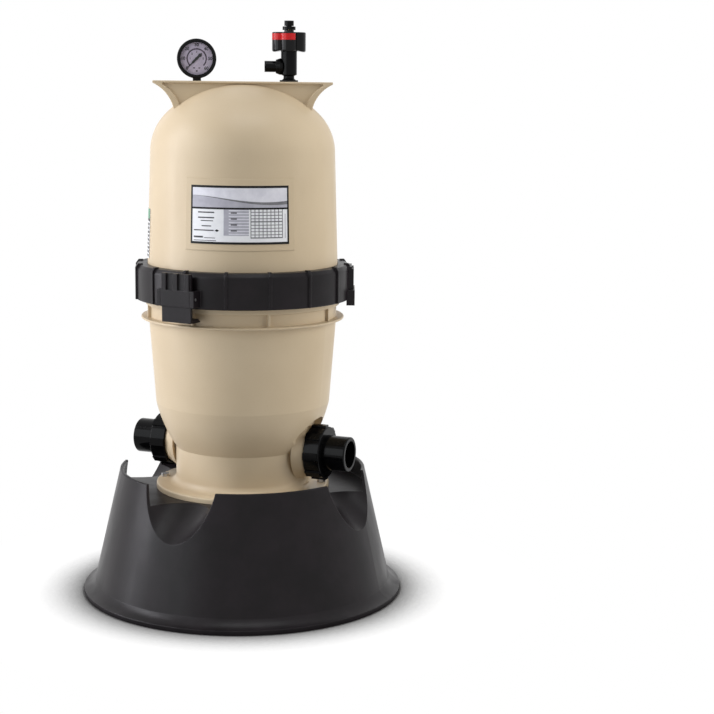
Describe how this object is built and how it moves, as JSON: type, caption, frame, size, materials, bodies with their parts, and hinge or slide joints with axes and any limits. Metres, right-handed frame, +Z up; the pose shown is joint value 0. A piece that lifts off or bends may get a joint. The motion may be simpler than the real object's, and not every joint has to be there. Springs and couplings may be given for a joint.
{
  "type": "cartridge filter housing",
  "caption": "Pool cartridge filter on a scooped pedestal: tank with union ports, domed lid with gauge and air relief valve, latched threaded locking ring.",
  "frame": {"origin": "centre of the pedestal's base, on the floor", "axes": "+Z up, +X along the inlet port's axis, the outlet port at -X; the lid's saddle is turned 25 degrees from X"},
  "size_m": [0.574, 0.5738, 1.0159],
  "materials": {
    "tan_moulding": "satin moulded",
    "black_moulding": "satin moulded",
    "black_fitting": "semi-gloss moulded",
    "black_metal": "black",
    "black_rubber": "matt",
    "stainless": "brushed",
    "brass": "bare",
    "dial_white": "printed",
    "pointer_black": "matt",
    "lens_clear": "clear",
    "label_silver": "printed film",
    "band_red": "gloss",
    "filter_sheet": "pleated polyester",
    "cartridge_white": "satin",
    "internal_white": "satin"
  },
  "bodies": {
    "tank": {"pedestal": "black_moulding", "foot_screws": "stainless", "tank_body": "tan_moulding", "tank_o_ring": "black_rubber", "inlet_tailpiece": "black_fitting", "outlet_tailpiece": "black_fitting", "inlet_union_o_ring": "black_rubber", "outlet_union_o_ring": "black_rubber", "outlet_manifold": "internal_white", "manifold_o_ring": "black_rubber", "cartridge_o_ring": "black_rubber", "inlet_diffuser": "internal_white", "cartridge_bottom_cap": "cartridge_white", "cartridge_top_cap": "cartridge_white", "cartridge_core": "cartridge_white", "cartridge_pleats": "filter_sheet", "cartridge_bands": "cartridge_white", "air_bleed_tube": "internal_white", "air_bleed_screen": "internal_white", "drain_plug_o_ring": "black_rubber"},
    "lid": {"lid": "tan_moulding", "front_label": "label_silver", "side_label": "label_silver", "gauge_case": "black_metal", "gauge_bezel": "black_metal", "gauge_lens": "lens_clear", "gauge_dial": "dial_white", "gauge_movement": "brass", "gauge_stem": "black_metal", "gauge_bourdon_tube": "brass", "relief_base_gasket": "black_rubber", "relief_valve_body": "black_fitting", "relief_spring": "stainless"},
    "ring": {"locking_ring": "black_moulding", "latch_pin": "stainless", "latch_spring": "stainless"},
    "latch": {"ring_latch": "black_moulding"},
    "needle": {"gauge_pointer": "pointer_black"},
    "knob": {"relief_knob": "black_fitting", "relief_knob_band": "band_red"},
    "plunger": {"relief_plunger": "brass", "relief_seat_seal": "black_rubber", "relief_top_washer": "black_fitting", "relief_top_nut": "black_fitting"},
    "inlet_nut": {"inlet_union_nut": "black_fitting"},
    "outlet_nut": {"outlet_union_nut": "black_fitting"},
    "drain": {"drain_plug": "black_fitting"}
  },
  "joints": [
    {"name": "lid_lift", "type": "slide", "parent": "tank", "child": "lid", "axis": [0, 0, 1], "range_m": [0, 0.0181]},
    {"name": "ring_turn", "type": "hinge", "parent": "lid", "child": "ring", "pos_m": [0, 0, 0.566], "axis": [0, 0, 1], "range_deg": [0, 270]},
    {"name": "latch_press", "type": "hinge", "parent": "ring", "child": "latch", "pos_m": [-0.02956, -0.1978, 0.5504], "axis": [-0.989, 0.1478, 0], "range_deg": [0, 9], "stiffness_Nm_per_rad": 1, "springref_deg": -2.86, "deforming": ["latch_spring"]},
    {"name": "gauge_needle", "type": "hinge", "parent": "lid", "child": "needle", "pos_m": [-0.06743, -0.04469, 0.949], "axis": [-0.4226, 0.9063, 0], "range_deg": [0, 270]},
    {"name": "relief_knob_turn", "type": "hinge", "parent": "lid", "child": "knob", "pos_m": [0.07251, 0.03381, 0.98], "axis": [0, 0, 1], "range_deg": [0, 90]},
    {"name": "relief_lift", "type": "slide", "parent": "lid", "child": "plunger", "axis": [0, 0, 1], "range_m": [0, 0.0041], "deforming": ["relief_spring"]},
    {"name": "inlet_nut_turn", "type": "hinge", "parent": "tank", "child": "inlet_nut", "pos_m": [0.151, 0, 0.263], "axis": [1, 0, 0], "continuous": true},
    {"name": "outlet_nut_turn", "type": "hinge", "parent": "tank", "child": "outlet_nut", "pos_m": [-0.151, 0, 0.263], "axis": [-1, 0, 0], "continuous": true},
    {"name": "drain_plug_turn", "type": "hinge", "parent": "tank", "child": "drain", "pos_m": [0, 0.145, 0.236], "axis": [0, 1, 0], "continuous": true}
  ],
  "couplings": [
    {"joint": "lid_lift", "follows": "ring_turn", "m_per_rad": 0.0038197},
    {"joint": "relief_lift", "follows": "relief_knob_turn", "m_per_rad": 0.0025465}
  ]
}
